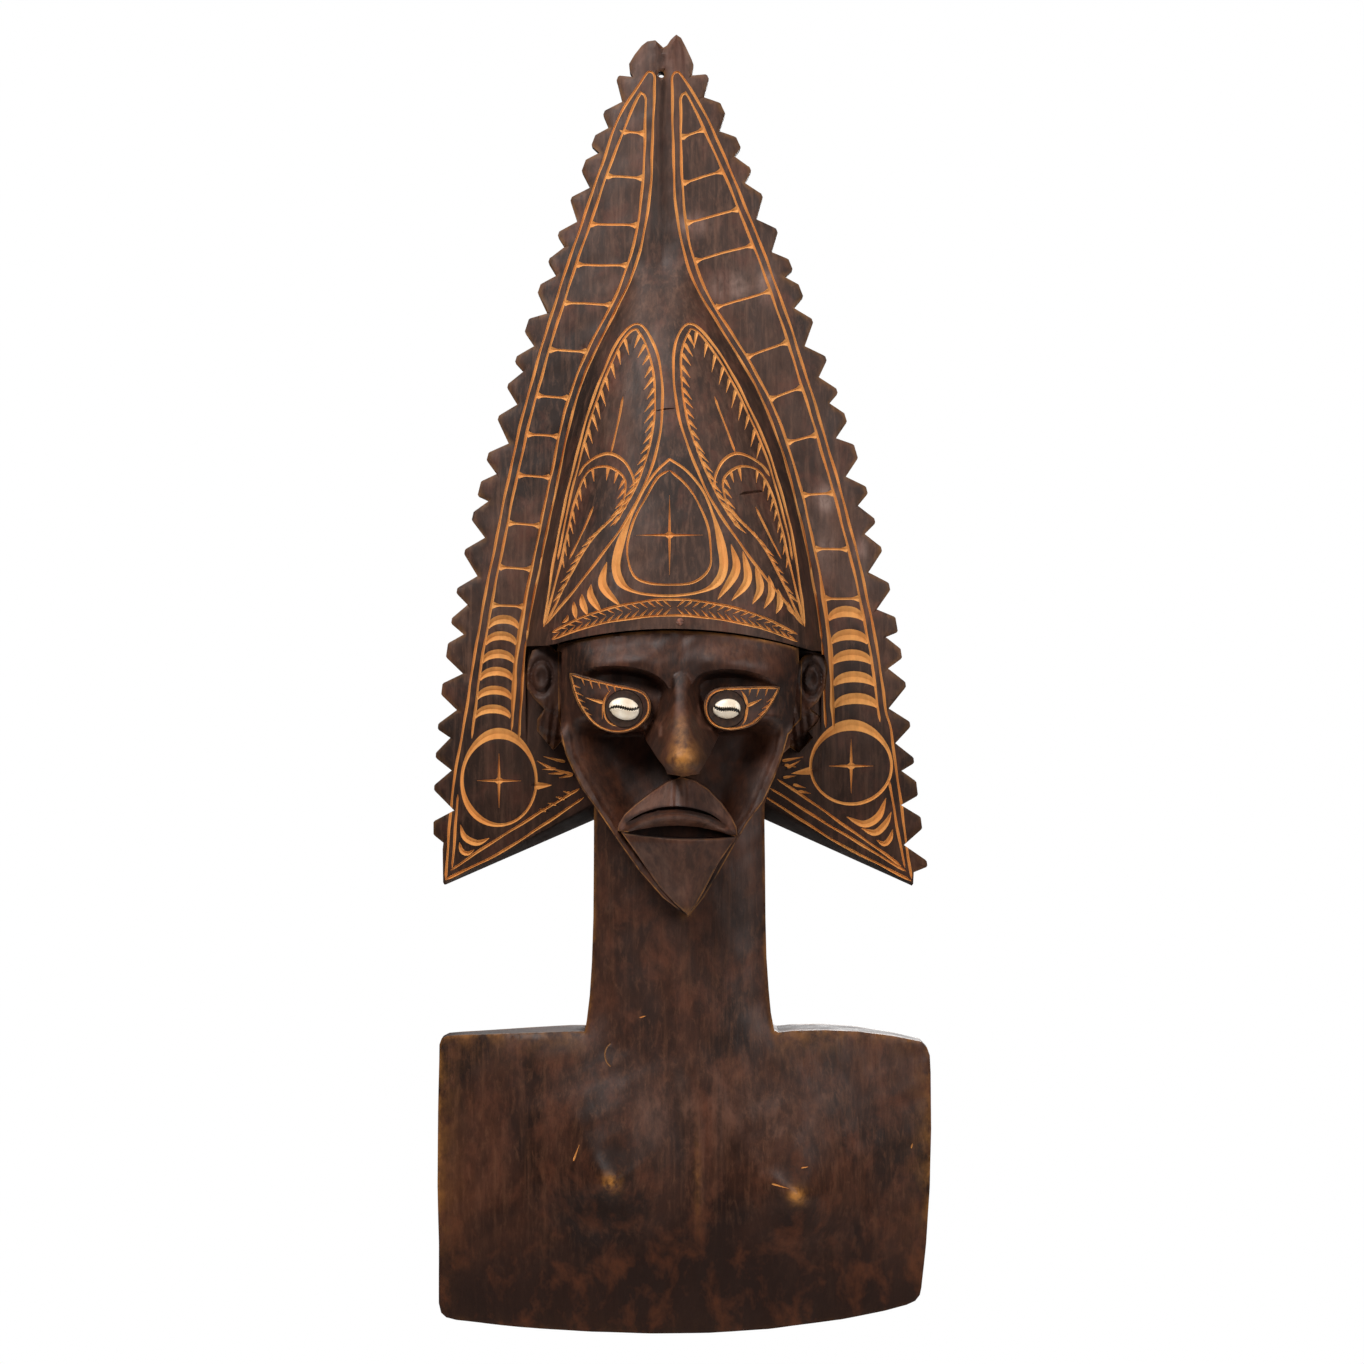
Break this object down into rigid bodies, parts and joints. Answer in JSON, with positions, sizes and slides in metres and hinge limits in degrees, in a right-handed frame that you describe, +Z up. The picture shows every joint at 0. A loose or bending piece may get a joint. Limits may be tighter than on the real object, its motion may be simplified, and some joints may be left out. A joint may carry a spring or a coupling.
{
  "type": "carved bust with headdress",
  "caption": "Carved wooden bust for a wall, with cowrie-shell eyes, a flat chest plate and a tall saw-edged headdress board pegged behind the head.",
  "frame": {"origin": "middle of the hanging hole, in the plane of the back", "axes": "+Z up towards the crest, the face looks along -Y, +Y out of the back towards the wall, +X to the right as seen from the front"},
  "size_m": [0.3417, 0.145, 0.892],
  "materials": {
    "bust_wood": "satin",
    "headdress_wood": "satin",
    "shell": "gloss",
    "resin": "matte",
    "peg_wood": "matte"
  },
  "bodies": {
    "root": {"bust": "bust_wood", "headdress": "headdress_wood", "shell_eye_left": "shell", "shell_eye_right": "shell", "eye_bed_left": "resin", "eye_bed_right": "resin", "brim_peg": "peg_wood", "lap_peg_upper_left": "peg_wood", "lap_peg_upper_right": "peg_wood", "lap_peg_lower_left": "peg_wood", "lap_peg_lower_right": "peg_wood"}
  },
  "joints": []
}
